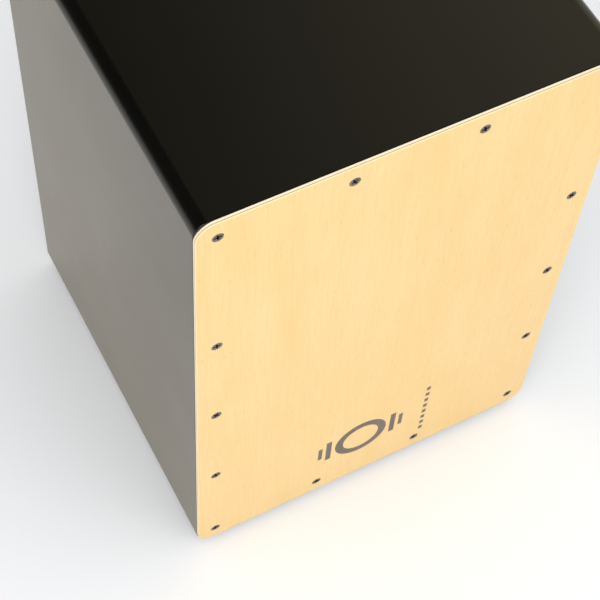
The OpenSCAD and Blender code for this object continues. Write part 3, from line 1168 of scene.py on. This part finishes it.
studio = {
    "floor": rgb(0.85, 0.86, 0.875),
    "floorDim": rgb(0.835, 0.843, 0.85),
    "reach": 60,
    "backdrop": rgb(0.692, 0.699, 0.702),
    # what lights the matt surfaces: from behind and below, and from in front and above
    "fillLow": rgb(0.50, 0.50, 0.50),
    "fillHigh": rgb(1.10, 1.10, 1.10),
    "fillSide": (0.10, -0.80, 0.59),
    # what the glossy surfaces mirror: a dim room, and a lit wall on its right
    "dark": rgb(0.008, 0.008, 0.008),
    "wall": rgb(1.06, 1.0, 0.76),
    "wallSide": (0.795, 0.348, 0.497),
    "wallFrom": 0.77,
    # each light: name, place, watts, colour
    "lights": (
        ("keyLight", (0.9, -2.2, 1.7), 11, (1.0, 0.985, 0.985)),
        ("fillLight", (-1.2, -1.7, 1.9), 28, (1.0, 0.995, 0.985)),
    ),
    "lightSize": (1.8, 1.5),
    "lightAim": (0, 0, 0.2),
}


def floorLook():
    look = Look("studioPaper")
    grain = look.noise(look.stretched((900, 900, 900)), detail=3)
    cloud = look.noise(look.stretched((1.3, 1.3, 1.3)), detail=2)
    return look.done(
        colour=look.mix(look.ranged(cloud, 0.3, 0.7), studio["floor"], studio["floorDim"]),
        rough=look.ranged(grain, 0.3, 0.7, 0.7, 0.85),
        normal=look.bump(grain, 0.05, 0.0001),
    )


def softbox(name, place, watts, colour):
    data = bpy.data.lights.new(name, "AREA")
    data.shape = "RECTANGLE"
    data.size, data.size_y = studio["lightSize"]
    data.energy = watts
    data.color = colour
    lamp = bpy.data.objects.new(name, data)
    lamp.location = place
    lamp.visible_camera = False
    aim = Vector(studio["lightAim"]) - Vector(place)
    lamp.rotation_euler = aim.to_track_quat("-Z", "Y").to_euler()
    bpy.context.scene.collection.objects.link(lamp)


def studioAir():
    # pale behind the object, even light for matt surfaces, and a dim room for glossy ones to mirror
    world = bpy.data.worlds.new("studioAir")
    world.use_nodes = True
    tree = world.node_tree
    tree.nodes.clear()

    def add(kind, **settings):
        node = tree.nodes.new(kind)
        for key, value in settings.items():
            setattr(node, key, value)
        return node

    def air(colour):
        node = add("ShaderNodeBackground")
        if isinstance(colour, bpy.types.NodeSocket):
            tree.links.new(colour, node.inputs["Color"])
        else:
            node.inputs["Color"].default_value = colour
        return node.outputs[0]

    def choose(test, no, yes):
        node = add("ShaderNodeMixShader")
        tree.links.new(test, node.inputs["Fac"])
        tree.links.new(no, node.inputs[1])
        tree.links.new(yes, node.inputs[2])
        return node.outputs[0]

    outwards = add("ShaderNodeTexCoord").outputs["Generated"]

    def towards(side, low, high, lowColour, highColour):
        # a colour that changes with how far a direction leans to one side
        lean = add("ShaderNodeVectorMath", operation="DOT_PRODUCT")
        tree.links.new(outwards, lean.inputs[0])
        lean.inputs[1].default_value = side
        share = add("ShaderNodeMapRange")
        tree.links.new(lean.outputs["Value"], share.inputs["Value"])
        share.inputs["From Min"].default_value = low
        share.inputs["From Max"].default_value = high
        blend = add("ShaderNodeMix", data_type="RGBA")
        tree.links.new(share.outputs["Result"], blend.inputs[0])
        blend.inputs[6].default_value = lowColour
        blend.inputs[7].default_value = highColour
        return blend.outputs[2]

    fill = towards(studio["fillSide"], -0.6, 0.8, studio["fillLow"], studio["fillHigh"])
    room = towards(studio["wallSide"], studio["wallFrom"], 1.0, studio["dark"], studio["wall"])
    rays = add("ShaderNodeLightPath").outputs
    lit = choose(rays["Is Glossy Ray"], air(fill), air(room))
    seen = choose(rays["Is Camera Ray"], lit, air(studio["backdrop"]))
    tree.links.new(seen, add("ShaderNodeOutputWorld").inputs["Surface"])
    return world


def makeStudio():
    deselectAll()
    bpy.ops.mesh.primitive_plane_add(size=studio["reach"], location=(0, 0, 0))
    floor = bpy.context.object
    floor.name = "studioFloor"
    settle(floor)
    dress(floor, floorLook())
    for light in studio["lights"]:
        softbox(*light)
    bpy.context.scene.world = studioAir()
    view = bpy.context.scene.view_settings
    view.view_transform = "Standard"
    view.look = "None"


makeStudio()
print("studio ready")
